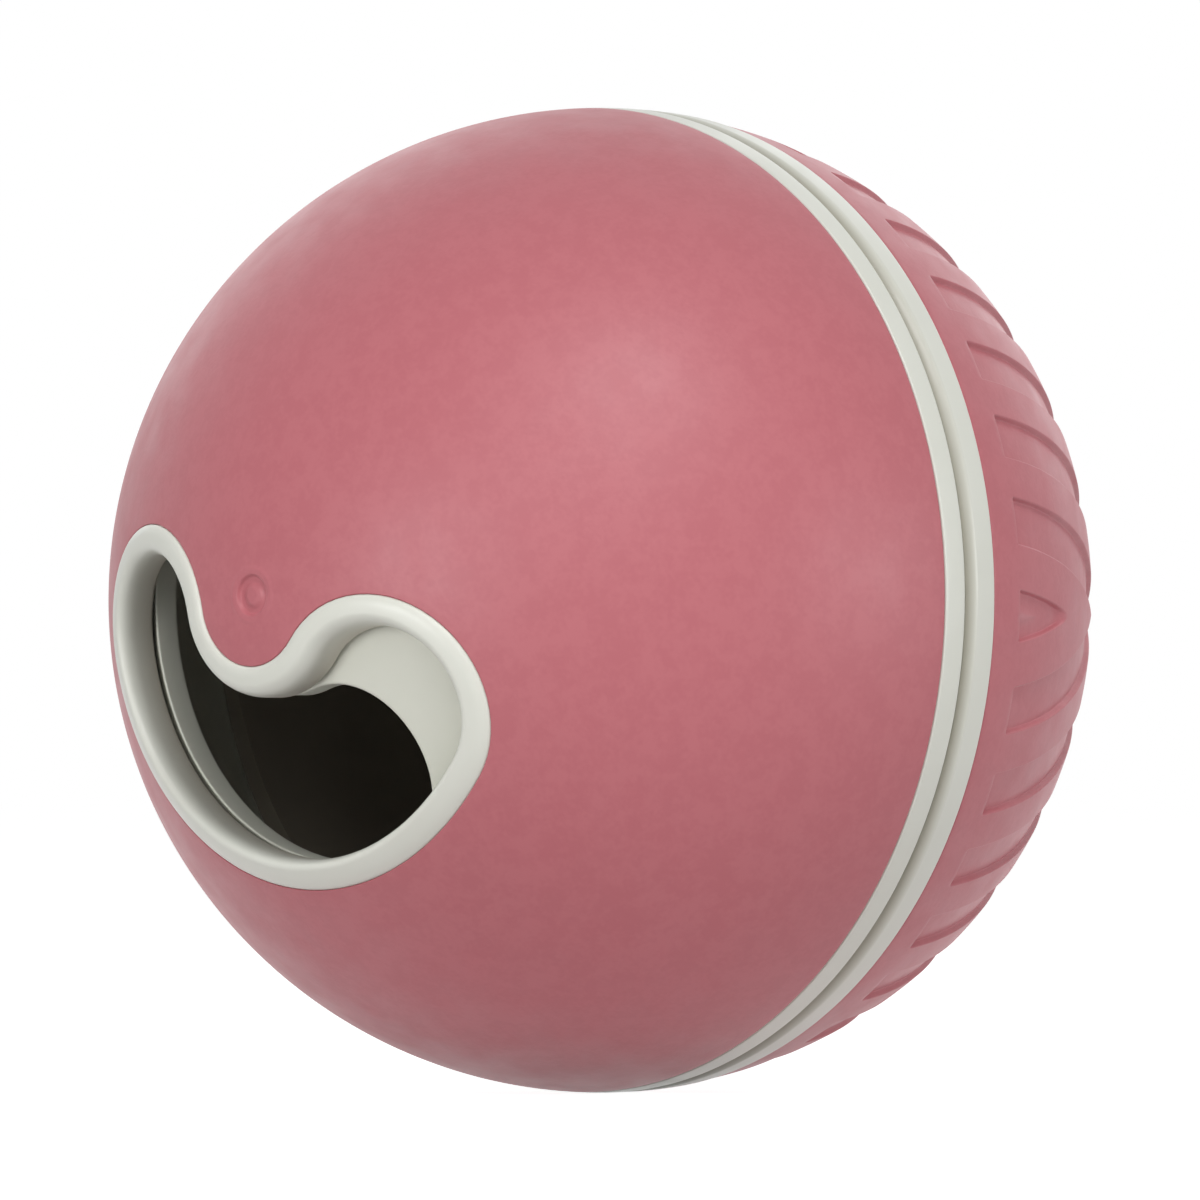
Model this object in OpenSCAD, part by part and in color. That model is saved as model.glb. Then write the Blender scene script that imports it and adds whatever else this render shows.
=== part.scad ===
// Treat dispensing ball: two soft-skinned halves that screw together, with a turning
// shutter dome behind a curved opening. The pole of the opening faces -Y and the seam
// plane is XZ. Every module draws about its own +Z, which is the pole axis.

/* [Ball] */
// Diameter over the front skin and the bands
ball_d = 100; // [90:1:120]
// Thickness of the soft skin
skin_t = 1.8; // [1.4:0.1:2.4]
// Wall of both rigid shells
shell_t = 2; // [1.6:0.1:2.6]
// How far the rear skin lies under the bands
rear_drop = 0.15; // [0.05:0.05:0.4]

/* [Seam] */
// Width of the bare band on the front half
front_band_w = 3.1; // [2.5:0.1:4]
// Width of the bare band on the rear half
rear_band_w = 4.3; // [3.4:0.1:5]
// Gap between the two rims
seam_gap = 0.5; // [0.3:0.1:0.8]
// Chamfer on the front rim's outer edge
rim_chamfer = 0.5; // [0.2:0.1:0.8]
// Height of the wider bevel on the rear rim
rear_bevel_w = 1.2; // [0.6:0.1:1.6]
// Depth of that bevel at the rim
rear_bevel_deep = 0.7; // [0.4:0.1:1]

/* [Opening] */
// Radius of the opening's middle line
slot_mid_r = 18.1; // [16:0.1:20]
// How far the middle line's centre lies to the left of the pole
slot_left_shift = 0.6; // [0:0.1:1.2]
// Clear width of the opening in the shell
slot_w = 16; // [13:0.1:18]
// Clear width of the matching opening in the shutter
shutter_slot_w = 16.5; // [13:0.1:17]
// Width of the bare lip round the opening
lip_w = 3.05; // [1.6:0.05:3.4]
// Angle of the opening's right end, from the ball's right
slot_right_deg = -37.7; // [-50:0.1:-20]
// Angle between the two ends' centres
slot_sweep_deg = 130.4; // [100:0.1:150]

/* [Shutter] */
// Running gap between the front shell and the shutter
shutter_gap = 0.4; // [0.3:0.05:0.6]
// Wall of the shutter
shutter_t = 2.5; // [2:0.1:3.2]
// How far the shutter is turned from fully open at rest
shutter_turn_deg = 32.4; // [0:0.1:60]
// Whole turn of the shutter between its stops
shutter_travel_deg = 165; // [120:1:175]
// Length of the stop lug along its arc
stop_sweep_deg = 8; // [5:1:14]

/* [Retaining ring] */
// Thickness of the ring that holds the shutter in
ring_t = 2.2; // [1.9:0.1:3]
// Distance of the ring from the seam plane
ring_inset = 0.8; // [0.6:0.1:1.4]
// Depth of the arc track that the stop lug runs in
track_deep = 1.2; // [0.8:0.1:1.4]
// Width of the ring's rails beside the track
track_rail_w = 1; // [0.7:0.1:1.3]
// Step that seats the ring and the cup's flange in the shells
seat_step = 0.5; // [0.4:0.05:0.7]
// How far the snap bead stands out
bead_proud = 0.3; // [0.2:0.05:0.5]
// Height of the snap bead
bead_h = 0.7; // [0.5:0.1:0.9]

/* [Cup and thread] */
// Height of the collar's mouth in front of the seam plane
collar_h = 15; // [13:0.1:17]
// Wall of the cup and its collar
cup_t = 2; // [1.6:0.1:2.6]
// Gap between the cup's bowl and the rear shell
bowl_gap = 0.3; // [0.2:0.05:0.6]
// Thickness of the cup's flange
flange_t = 1.8; // [1.4:0.1:2.2]
// Thickness of the round seal
seal_d = 2; // [1.6:0.1:2.4]
// Number of thread lugs
lug_count = 4; // [3:1:4]
// How far the lugs stand out of the collar
lug_proud = 1.4; // [1:0.1:1.5]
// Height of a lug
lug_h = 1.6; // [1.2:0.1:2]
// Length of a lug along its arc
lug_sweep_deg = 12; // [8:1:14]
// Drop of the lugs' tops below the collar's mouth
lug_drop = 2.2; // [2:0.1:3]
// Advance of the thread in one turn
thread_lead = 32; // [28:1:36]

/* [Grip] */
// Number of sectors that the channels are laid out in
grip_sectors = 5; // [4:1:6]
// Angle of one sector's edge, from the ball's right
grip_first_deg = -2.3; // [-36:0.1:36]
// Whole channels on each side of a sector's middle line
channels_per_side = 3; // [2:1:3]
// Width of a channel
channel_w = 4.15; // [3.4:0.05:5]
// Depth of a channel
channel_deep = 0.55; // [0.4:0.05:0.8]
// Distance of the channels' blunt ends behind the seam plane
channel_start = 8.8; // [7:0.1:13]
// Radius of the plain boss at the rear pole
boss_r = 9; // [6:0.5:12]

/* [Moulding mark] */
// Diameter of the round mark at each pole
mark_d = 4.4; // [3:0.1:6]
// Depth of the mark
mark_deep = 0.25; // [0.15:0.05:0.5]
// Diameter of the nub in the mark
nub_d = 1.2; // [0.8:0.1:1.6]

/* [Clearances] */
// Clearance where one piece turns or slides in another
run_gap = 0.3; // [0.2:0.05:0.35]
// Clearance between pieces that are fixed together
snug_gap = 0.05; // [0.02:0.01:0.1]

/* [Hidden] */
$fn = 96;

// Colours
ivory = [0.84, 0.83, 0.79];
rose = [0.79, 0.46, 0.50];
charcoal = [0.13, 0.12, 0.11];
grey = [0.42, 0.42, 0.40];

// Cutters run past what they cut by this much
overrun = 1;

// Radii of the layers, from the outside in
ball_r = ball_d / 2;
front_shell_r = ball_r - skin_t;
front_bore_r = front_shell_r - shell_t;
shutter_r = front_bore_r - shutter_gap;
shutter_bore_r = shutter_r - shutter_t;
rear_skin_r = ball_r - rear_drop;
rear_shell_r = rear_skin_r - skin_t;
rear_bore_r = rear_shell_r - shell_t;
bowl_r = rear_bore_r - bowl_gap;
seat_r = front_bore_r + seat_step;
rim_z = seam_gap / 2;

// Opening: the shutter's slot lies clockwise of the shell's, seen from the front, and its
// middle line is centred on the pole that it turns about
slot_left_deg = slot_right_deg - slot_sweep_deg;
lip_half_w = slot_w / 2 + lip_w;
arc_steps = 24;
end_steps = 12;

// Collar, thread and shutter skirt: the skirt's bore ends where the dome's bore begins
skirt_bore_r = sqrt(pow(shutter_bore_r, 2) - pow(collar_h, 2));
collar_r = skirt_bore_r - run_gap;
lug_r = collar_r + lug_proud;
thread_root_r = lug_r + run_gap;
lug_top_z = collar_h - lug_drop;
lug_mid_z = lug_top_z - lug_h / 2;
thread_slope = thread_lead / 360;
thread_half_h = lug_h / 2 + thread_slope * lug_sweep_deg / 2 + run_gap;
lug_pitch_deg = 360 / lug_count;

// Retaining ring and the skirt's lower edge
ring_high_z = ring_inset + ring_t;
ring_bore_r = thread_root_r;
ring_r = seat_r - snug_gap;
track_low_z = ring_high_z - track_deep;
track_in_r = ring_bore_r + track_rail_w;
track_out_r = ring_r - track_rail_w;
bead_low_z = ring_inset + (ring_t - bead_h) / 2;
skirt_low_z = ring_high_z + run_gap;
stop_deg = 90;
gap_deg = run_gap / track_in_r * 180 / PI;

// Thread grooves run from the seated lug's end until they leave the skirt
groove_top_deg = lug_sweep_deg / 2 + gap_deg;
groove_exit_z = skirt_low_z - thread_half_h - overrun;
groove_low_deg = (groove_exit_z - lug_mid_z) / thread_slope;
groove_steps = 28;

// Seal and flange
seal_mid_r = collar_r + run_gap + seal_d / 2;
seal_z = ring_inset - run_gap - seal_d / 2;
flange_top_z = seal_z - seal_d / 2 - snug_gap;
flange_low_z = flange_top_z - flange_t;
bowl_meet_z = -sqrt(pow(bowl_r, 2) - pow(collar_r, 2));
cup_bore_r = collar_r - cup_t;
lug_root_r = collar_r - cup_t / 2;
bowl_bore_r = bowl_r - cup_t;
bowl_bore_meet_z = -sqrt(pow(bowl_bore_r, 2) - pow(cup_bore_r, 2));

// Grip: channels run parallel to the middle line of their sector, and meet those of the
// next sector in chevrons along the edge between them
half_sector_deg = 180 / grip_sectors;
grip_rim_r = sqrt(pow(rear_skin_r, 2) - pow(channel_start, 2));
channel_pitch = grip_rim_r * sin(half_sector_deg) / (channels_per_side + 1 / 2);
channel_reach = 2 * ball_r;

// Turns the pole from +Z to -Y
module facing_forward() {
    rotate([90, 0, 0]) children();
}

// Upright ring between two radii and two heights
module hoop(out_r, in_r, low_z, high_z) {
    rotate_extrude()
        translate([in_r, low_z])
            square([out_r - in_r, high_z - low_z]);
}

// Piece of such a ring, centred on an angle
module hoop_arc(out_r, in_r, low_z, high_z, mid_deg, sweep_deg) {
    rotate([0, 0, mid_deg - sweep_deg / 2])
        rotate_extrude(angle = sweep_deg)
            translate([in_r, low_z])
                square([out_r - in_r, high_z - low_z]);
}

// Wall of a hollow ball between two radii, cut between two heights
module ball_zone(out_r, in_r, low_z, high_z) {
    rotate_extrude()
        intersection() {
            difference() {
                circle(r = out_r);
                circle(r = in_r);
            }
            translate([0, low_z]) square([out_r + overrun, high_z - low_z]);
        }
}

// Points of an arc round a centre, without its last point
function arc_points(centre, r, from_deg, to_deg, steps) =
    [for (i = [0 : steps - 1])
        let (a = from_deg + (to_deg - from_deg) * i / steps)
        centre + r * [cos(a), sin(a)]];

// Middle of the full round end at an angle of the opening's middle line
function end_centre(deg) = slot_mid_r * [cos(deg), sin(deg)];

// Outline of the opening: two arcs round its centre, joined by full round ends
function slot_outline(half_w) = concat(
    arc_points([0, 0], slot_mid_r + half_w, slot_left_deg, slot_right_deg, arc_steps),
    arc_points(end_centre(slot_right_deg), half_w,
        slot_right_deg, slot_right_deg + 180, end_steps),
    arc_points([0, 0], slot_mid_r - half_w, slot_right_deg, slot_left_deg, arc_steps),
    arc_points(end_centre(slot_left_deg), half_w,
        slot_left_deg + 180, slot_left_deg + 360, end_steps));

// Upright prism on that outline, with its centre at a place across the pole
module slot_prism(half_w, low_z, high_z, centre_x) {
    translate([centre_x, 0, low_z])
        linear_extrude(height = high_z - low_z)
            polygon(slot_outline(half_w));
}

// Bevel cutter for a rim's outer edge, drawn for the front rim
module rim_cut(deep, bevel_w) {
    rotate_extrude()
        polygon([
            [ball_r - deep, rim_z - overrun],
            [ball_r - deep, rim_z],
            [ball_r, rim_z + bevel_w],
            [ball_r + overrun, rim_z + bevel_w],
            [ball_r + overrun, rim_z - overrun],
        ]);
}

// Round moulding mark at the pole of a skin of the given radius
module mark_cut(skin_r) {
    hoop(mark_d / 2, nub_d / 2, skin_r - mark_deep, skin_r + overrun);
}

// One helical groove, as a swept rectangle that ends past the skirt's lower edge
module thread_groove() {
    in_r = skirt_bore_r - overrun;
    section = [[in_r, -thread_half_h], [in_r, thread_half_h],
        [thread_root_r, thread_half_h], [thread_root_r, -thread_half_h]];
    step_deg = (groove_top_deg - groove_low_deg) / groove_steps;
    corners = [for (i = [0 : groove_steps]) for (p = section)
        let (a = groove_low_deg + i * step_deg)
        [p[0] * cos(a), p[0] * sin(a), lug_mid_z + thread_slope * a + p[1]]];
    sides = [for (i = [0 : groove_steps - 1]) for (k = [0 : 3])
        let (j = (k + 1) % 4, b = 4 * i)
        for (f = [[b + k, b + k + 4, b + j + 4], [b + k, b + j + 4, b + j]]) f];
    last = 4 * groove_steps;
    ends = [[0, 1, 2], [0, 2, 3],
        [last, last + 2, last + 1], [last, last + 3, last + 2]];
    polyhedron(points = corners, faces = concat(sides, ends));
}

// Point of a chevron's side: where a line at this distance from a sector's middle line
// meets the sector's edge, and then the far end of that line on either side
function chevron_tip(off) = [off / sin(half_sector_deg), 0];
function chevron_far(off, side) = chevron_tip(off)
    + channel_reach * [cos(half_sector_deg), side * sin(half_sector_deg)];

// Flat outline of one chevron, with its edge along +X
module chevron(mid_off) {
    in_off = mid_off - channel_w / 2;
    out_off = mid_off + channel_w / 2;
    polygon([chevron_tip(in_off), chevron_far(in_off, -1), chevron_far(out_off, -1),
        chevron_tip(out_off), chevron_far(out_off, 1), chevron_far(in_off, 1)]);
}

// All channels, as upright prisms behind their blunt ends, less the rear boss
module grip_prisms() {
    for (i = [0 : grip_sectors - 1], k = [0 : channels_per_side])
        rotate([0, 0, grip_first_deg + i * 2 * half_sector_deg])
            translate([0, 0, -channel_reach])
                linear_extrude(height = channel_reach - channel_start)
                    chevron((k + 1 / 2) * channel_pitch);
}

// Front half: hard shell with the bare band and the raised lip of the opening
module front_shell() {
    color(ivory) facing_forward()
        difference() {
            union() {
                ball_zone(front_shell_r, front_bore_r, rim_z, ball_r);
                ball_zone(ball_r, front_bore_r, rim_z, front_band_w);
                intersection() {
                    ball_zone(ball_r, front_bore_r + shell_t / 2, rim_z, ball_r);
                    slot_prism(lip_half_w, rim_z, ball_r + overrun, -slot_left_shift);
                }
            }
            slot_prism(slot_w / 2, 0, ball_r + overrun, -slot_left_shift);
            rim_cut(rim_chamfer, rim_chamfer);
            hoop(seat_r, 0, -overrun, ring_high_z);
            hoop(seat_r + bead_proud, 0, bead_low_z, bead_low_z + bead_h);
        }
}

// Front half: soft skin over the shell, cut out round the lip
module front_skin() {
    color(rose) facing_forward()
        difference() {
            ball_zone(ball_r, front_shell_r, front_band_w, ball_r);
            slot_prism(lip_half_w, 0, ball_r + overrun, -slot_left_shift);
            mark_cut(ball_r);
        }
}

// Snap ring in the front rim, with the arc track that stops the shutter
module retaining_ring() {
    track_sweep_deg = shutter_travel_deg + stop_sweep_deg + 2 * gap_deg;
    track_mid_deg = stop_deg + shutter_turn_deg - shutter_travel_deg / 2;
    color(charcoal) facing_forward()
        difference() {
            union() {
                hoop(ring_r, ring_bore_r, ring_inset, ring_high_z);
                hoop(ring_r + bead_proud, ring_bore_r, bead_low_z, bead_low_z + bead_h);
            }
            hoop_arc(track_out_r, track_in_r, track_low_z, ring_high_z + overrun,
                track_mid_deg, track_sweep_deg);
        }
}

// Hollow of the shutter: the skirt's straight bore under the dome's round one
module shutter_hollow() {
    rotate_extrude() {
        square([skirt_bore_r, collar_h]);
        intersection() {
            circle(r = shutter_bore_r);
            translate([0, collar_h]) square(shutter_bore_r);
        }
    }
}

// Shutter: a dome with a skirt, whose slot covers or clears the opening as it turns
module shutter_dome() {
    color(ivory) facing_forward() {
        difference() {
            ball_zone(shutter_r, 0, skirt_low_z, ball_r);
            shutter_hollow();
            rotate([0, 0, -shutter_turn_deg])
                slot_prism(shutter_slot_w / 2, collar_h, ball_r, 0);
            for (i = [0 : lug_count - 1])
                rotate([0, 0, i * lug_pitch_deg]) thread_groove();
        }
        hoop_arc(track_out_r - run_gap, track_in_r + run_gap, track_low_z + run_gap,
            skirt_low_z + run_gap, stop_deg, stop_sweep_deg);
    }
}

// Round seal between the retaining ring and the cup's flange
module seal_ring() {
    color(grey) facing_forward()
        rotate_extrude()
            translate([seal_mid_r, seal_z])
                circle(d = seal_d);
}

// Straight wall over a round bottom, as a solid
module bowl_form(wall_r, round_r, meet_z, high_z) {
    rotate_extrude() {
        translate([0, meet_z]) square([wall_r, high_z - meet_z]);
        intersection() {
            circle(r = round_r);
            translate([0, -round_r]) square([round_r, round_r + meet_z]);
        }
    }
}

// Treat cup: straight wall, round bottom, flange, and a collar with thread lugs
module treat_cup() {
    color(charcoal) facing_forward()
        difference() {
            union() {
                bowl_form(collar_r, bowl_r, bowl_meet_z, collar_h);
                hoop(seat_r - snug_gap, 0, flange_low_z, flange_top_z);
                for (i = [0 : lug_count - 1])
                    hoop_arc(lug_r, lug_root_r, lug_top_z - lug_h, lug_top_z,
                        i * lug_pitch_deg, lug_sweep_deg);
            }
            bowl_form(cup_bore_r, bowl_bore_r, bowl_bore_meet_z, collar_h + overrun);
        }
}

// Rear half: hard shell with its bare band and the seat for the cup's flange
module rear_shell() {
    color(ivory) facing_forward()
        difference() {
            union() {
                ball_zone(rear_shell_r, rear_bore_r, -ball_r, -rim_z);
                ball_zone(ball_r, rear_bore_r, -rear_band_w, -rim_z);
            }
            mirror([0, 0, 1]) rim_cut(rear_bevel_deep, rear_bevel_w);
            hoop(seat_r, 0, flange_low_z, overrun);
        }
}

// Rear half: soft skin with the grip channels
module rear_skin() {
    floor_r = rear_skin_r - channel_deep;
    color(rose) facing_forward()
        difference() {
            ball_zone(rear_skin_r, rear_shell_r, -ball_r, -rear_band_w);
            intersection() {
                difference() {
                    ball_zone(rear_skin_r + overrun, floor_r, -channel_reach, -rear_band_w);
                    hoop(boss_r, 0, -channel_reach, 0);
                }
                grip_prisms();
            }
            mirror([0, 0, 1]) mark_cut(rear_skin_r);
        }
}

front_shell();
front_skin();
retaining_ring();
shutter_dome();
seal_ring();
treat_cup();
rear_shell();
rear_skin();
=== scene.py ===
import math

import bmesh
import bpy
import numpy as np
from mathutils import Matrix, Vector


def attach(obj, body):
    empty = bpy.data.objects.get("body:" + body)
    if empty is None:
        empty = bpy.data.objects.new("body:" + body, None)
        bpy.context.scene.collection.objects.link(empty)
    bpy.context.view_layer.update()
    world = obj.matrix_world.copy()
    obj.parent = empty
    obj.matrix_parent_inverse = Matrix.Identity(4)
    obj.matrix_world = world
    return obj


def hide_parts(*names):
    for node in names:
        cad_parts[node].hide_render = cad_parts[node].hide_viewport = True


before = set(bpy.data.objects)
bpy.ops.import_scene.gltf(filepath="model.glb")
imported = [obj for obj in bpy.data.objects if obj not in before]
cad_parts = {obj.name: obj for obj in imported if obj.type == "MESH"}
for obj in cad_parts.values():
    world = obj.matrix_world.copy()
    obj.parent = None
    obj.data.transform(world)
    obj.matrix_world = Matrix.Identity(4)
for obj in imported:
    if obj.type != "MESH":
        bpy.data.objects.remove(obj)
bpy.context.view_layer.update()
print("frame loaded:", sorted(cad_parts))

# Shapes are worked out in millimetres about the ball's centre, in the pole frame:
# x to the right, y up and z out through the front pole. Azimuths turn from x towards y.
tau = 2 * math.pi
ballRadius = 49.98  # just under the solid ball's 50, so that every piece stays inside its box
perMetre = 1000  # millimetres in a metre
weldGap = 2e-6  # metres: points closer than this become one
sliverEdge = 1e-7  # metres: shorter edges are dissolved
slack = 1e-6  # millimetres, for rounding where lengths are compared


def toRow(points):
    # pole frame in mm to the row frame in metres: (x, y, z) becomes (x, -z, y) / 1000
    return np.stack([points[..., 0], -points[..., 2], points[..., 1]], -1) / perMetre


def easeStep(t):
    # 6 t^5 - 15 t^4 + 10 t^3, held at 0 and 1 outside the step
    t = np.clip(t, 0, 1)
    return t * t * t * (t * (6 * t - 15) + 10)


def hump(distance, width):
    # bell of height 1: exp(-(distance / width)^2)
    return np.exp(-(distance / width) ** 2)


def onBall(rho, azimuth, radius, side=1, lift=0.0):
    # a ball's point (rho cos a, rho sin a, side sqrt(radius^2 - rho^2)), moved out by lift
    height = side * np.sqrt(np.maximum(radius * radius - rho * rho, 0))
    points = np.stack(np.broadcast_arrays(rho * np.cos(azimuth), rho * np.sin(azimuth), height), -1)
    return points * (1 + np.asarray(lift) / radius)[..., None]


def revolve(profile, azimuths):
    # each profile point (rho, z) goes once round the pole axis: (rho cos a, rho sin a, z)
    profile = np.asarray(profile, float)
    rho, height = profile[:, :1], profile[:, 1:]
    return np.stack(np.broadcast_arrays(rho * np.cos(azimuths), rho * np.sin(azimuths), height), -1)


def ballRows(radius, fromDeg, toDeg, count):
    # profile points radius * (sin a, cos a) at even polar angles a
    angle = np.radians(np.linspace(fromDeg, toDeg, count))
    return [tuple(p) for p in np.stack([radius * np.sin(angle), radius * np.cos(angle)], -1)]


def ringRadius(radius, z):
    # distance from the pole axis of a ball's surface at a height: sqrt(radius^2 - z^2)
    return math.sqrt(radius * radius - z * z)


def degAtRho(radius, rho):
    # polar angle of a ball's point at a distance from the axis, on the front side
    return math.degrees(math.asin(rho / radius))


def degAtZ(radius, z):
    # polar angle of a ball's point at a height
    return math.degrees(math.acos(z / radius))


def bandPoint(z):
    # profile point of the ball itself at a height
    return (ringRadius(ballRadius, z), z)


def bandLine(fromZ, toZ, count=4):
    # profile points of the ball itself at even heights
    return [bandPoint(z) for z in np.linspace(fromZ, toZ, count)]


def roundOff(corners, steps=6):
    # a line through corners (a, b, round), where each round replaces its corner by an arc
    # that touches both sides: centre + (sin((1 - t) sweep) first + sin(t sweep) last) / sin(sweep)
    line = []
    for i, corner in enumerate(corners):
        here = np.array(corner[:2], float)
        turn = corner[2] if len(corner) > 2 else 0
        if not turn:
            line.append(tuple(here))
            continue
        back = np.array(corners[i - 1][:2], float) - here
        ahead = np.array(corners[i + 1][:2], float) - here
        back, ahead = back / np.linalg.norm(back), ahead / np.linalg.norm(ahead)
        half = math.acos(float(np.clip(back @ ahead, -1, 1))) / 2
        centre = here + (back + ahead) / np.linalg.norm(back + ahead) * turn / math.sin(half)
        first = here + back * turn / math.tan(half) - centre
        last = here + ahead * turn / math.tan(half) - centre
        sweep = math.pi - 2 * half
        for k in range(steps + 1):
            t = k / steps
            spoke = math.sin((1 - t) * sweep) * first + math.sin(t * sweep) * last
            line.append(tuple(centre + spoke / math.sin(sweep)))
    return line


def poleRows(outer, fineTo, fineCount, coarseCount):
    # distances from the axis: even fine steps out to fineTo, then even coarser ones
    fine = np.linspace(0, fineTo, fineCount)
    return np.concatenate([fine, np.linspace(fineTo, outer, coarseCount)[1:]])


def makePiece(name, patches, finish, body, node):
    # a patch is (points by row and column, closed round, turned inside out);
    # its faces look along (row direction) x (column direction), and shared edges are welded
    points, faces, first = [], [], 0
    for grid, closed, inward in patches:
        rows, columns = grid.shape[:2]
        a = np.arange(rows - 1)[:, None] * columns + np.arange(columns if closed else columns - 1)
        b = np.arange(rows - 1)[:, None] * columns + (np.arange(a.shape[1]) + 1) % columns
        quads = np.stack([a, a + columns, b + columns, b], -1).reshape(-1, 4) + first
        faces.append(quads[:, ::-1] if inward else quads)
        points.append(toRow(grid).reshape(-1, 3))
        first += rows * columns
    points, faces = np.concatenate(points), np.concatenate(faces)
    mesh = bpy.data.meshes.new(name)
    mesh.vertices.add(len(points))
    mesh.vertices.foreach_set("co", points.astype(np.float32).ravel())
    mesh.loops.add(faces.size)
    mesh.loops.foreach_set("vertex_index", faces.ravel().astype(np.int32))
    mesh.polygons.add(len(faces))
    mesh.polygons.foreach_set("loop_start", np.arange(0, faces.size, 4, dtype=np.int32))
    mesh.update(calc_edges=True)
    work = bmesh.new()
    work.from_mesh(mesh)
    bmesh.ops.remove_doubles(work, verts=work.verts, dist=weldGap)
    bmesh.ops.dissolve_degenerate(work, edges=work.edges, dist=sliverEdge)
    work.to_mesh(mesh)
    work.free()
    mesh.polygons.foreach_set("use_smooth", np.ones(len(mesh.polygons), bool))
    mesh.update()
    piece = bpy.data.objects.new(name, mesh)
    bpy.context.scene.collection.objects.link(piece)
    mesh.materials.append(finish)
    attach(piece, body)
    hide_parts(node)
    print("piece", name, len(mesh.vertices), "points,", len(mesh.polygons), "faces")


# Finishes

class Finish:
    # a small node tree round one Principled shader, on Object coordinates
    def __init__(self, name):
        self.material = bpy.data.materials.new(name)
        self.material.use_nodes = True
        self.tree = self.material.node_tree
        self.shader = self.tree.nodes["Principled BSDF"]
        self.place = self.tree.nodes.new("ShaderNodeTexCoord").outputs["Object"]

    def noise(self, scale, octaves, fineShare=0.5):
        node = self.tree.nodes.new("ShaderNodeTexNoise")
        node.inputs["Scale"].default_value = scale
        node.inputs["Detail"].default_value = octaves
        node.inputs["Roughness"].default_value = fineShare
        self.tree.links.new(self.place, node.inputs["Vector"])
        return node.outputs["Fac"]

    def spread(self, value, low, high, fromLow=0.3, fromHigh=0.7):
        # straight line from low to high, held at both ends; a noise stays mostly in 0.3 to 0.7
        node = self.tree.nodes.new("ShaderNodeMapRange")
        node.inputs["From Min"].default_value = fromLow
        node.inputs["From Max"].default_value = fromHigh
        node.inputs["To Min"].default_value = low
        node.inputs["To Max"].default_value = high
        self.tree.links.new(value, node.inputs["Value"])
        return node.outputs["Result"]

    def blend(self, share, colourA, colourB):
        # the Mix node's colour form has its share at input 0, its colours at 6 and 7
        # and its result at output 2
        node = self.tree.nodes.new("ShaderNodeMix")
        node.data_type = "RGBA"
        self.tree.links.new(share, node.inputs[0])
        for socket, colour in ((6, colourA), (7, colourB)):
            if isinstance(colour, tuple):
                node.inputs[socket].default_value = (*colour, 1)
            else:
                self.tree.links.new(colour, node.inputs[socket])
        return node.outputs[2]

    def bump(self, height, strength, distance):
        node = self.tree.nodes.new("ShaderNodeBump")
        node.inputs["Strength"].default_value = strength
        node.inputs["Distance"].default_value = distance
        self.tree.links.new(height, node.inputs["Height"])
        return node.outputs["Normal"]

    def fadeFrom(self, shade):
        # share of a painted shade, falling from 1 to 0 between two distances in metres: from the centre of
        # the ball if the shade is round, and otherwise along the pole axis towards the rear
        if shade["round"]:
            node = self.tree.nodes.new("ShaderNodeVectorMath")
            node.operation = "LENGTH"
            way = node.outputs["Value"]
        else:
            node = self.tree.nodes.new("ShaderNodeSeparateXYZ")
            way = node.outputs["Y"]
        self.tree.links.new(self.place, node.inputs[0])
        return self.spread(way, 1, 0, shade["from"], shade["to"])

    def feed(self, socket, output):
        self.tree.links.new(output, self.shader.inputs[socket])


# Scales are in features a metre and heights in metres. The mottle blends the two colours, the
# wear varies the roughness, and the grain lifts the surface.
softTouch = {
    "colour": (0.456, 0.132, 0.154), "paler": (0.478, 0.144, 0.166), "specular": 0.36,
    "mottle": 300, "octaves": 3, "fineShare": 0.90, "mottleSpan": (0.41, 0.59),
    "wear": 240, "roughLow": 0.39, "roughHigh": 0.47,
    "grain": 2600, "grainStrength": 0.22, "grainHeight": 0.00006,
}
ivoryGloss = {
    "colour": (0.680, 0.688, 0.620), "paler": (0.705, 0.715, 0.650), "specular": 0.5,
    "mottle": 70, "octaves": 3, "fineShare": 0.5, "mottleSpan": (0.30, 0.70),
    "wear": 280, "roughLow": 0.30, "roughHigh": 0.38,
    "grain": 1500, "grainStrength": 0.06, "grainHeight": 0.00002,
}
shutterGloss = {
    "colour": (0.665, 0.672, 0.590), "paler": (0.690, 0.697, 0.615), "specular": 0.5,
    "mottle": 60, "octaves": 3, "fineShare": 0.5, "mottleSpan": (0.30, 0.70),
    "wear": 240, "roughLow": 0.34, "roughHigh": 0.42,
    "grain": 1500, "grainStrength": 0.08, "grainHeight": 0.00002,
}
# Painted light: the charcoal is lifted to a mid brown-grey, far lighter than the moulding's own
# near-black, so that the inside of the ball, which little light reaches, renders brighter
charcoalWithPaintedLight = {
    "colour": (0.290, 0.255, 0.210), "paler": (0.315, 0.280, 0.230), "specular": 0.4,
    "mottle": 80, "octaves": 3, "fineShare": 0.5, "mottleSpan": (0.30, 0.70),
    "wear": 320, "roughLow": 0.34, "roughHigh": 0.46,
    "grain": 1800, "grainStrength": 0.10, "grainHeight": 0.00003,
}
sealSilicone = {
    "colour": (0.16, 0.16, 0.145), "paler": (0.19, 0.19, 0.17), "specular": 0.4,
    "mottle": 120, "octaves": 3, "fineShare": 0.5, "mottleSpan": (0.30, 0.70),
    "wear": 480, "roughLow": 0.45, "roughHigh": 0.55,
    "grain": 2200, "grainStrength": 0.12, "grainHeight": 0.00003,
}
# Painted shade: darker, warmer tones of the ivory where shade falls, in the seam and down the opening's
# tunnel
seamPaintedShade = {"colour": (0.410, 0.395, 0.325), "round": False, "from": 0.00060, "to": 0.00170}
# down the tunnel the painted shade is also warm, as light bounced inside it would be
tunnelPaintedShade = {"colour": (0.555, 0.527, 0.450), "round": True, "from": 0.0464, "to": 0.0494}
wearOctaves = 2
grainOctaves = 3


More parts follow.
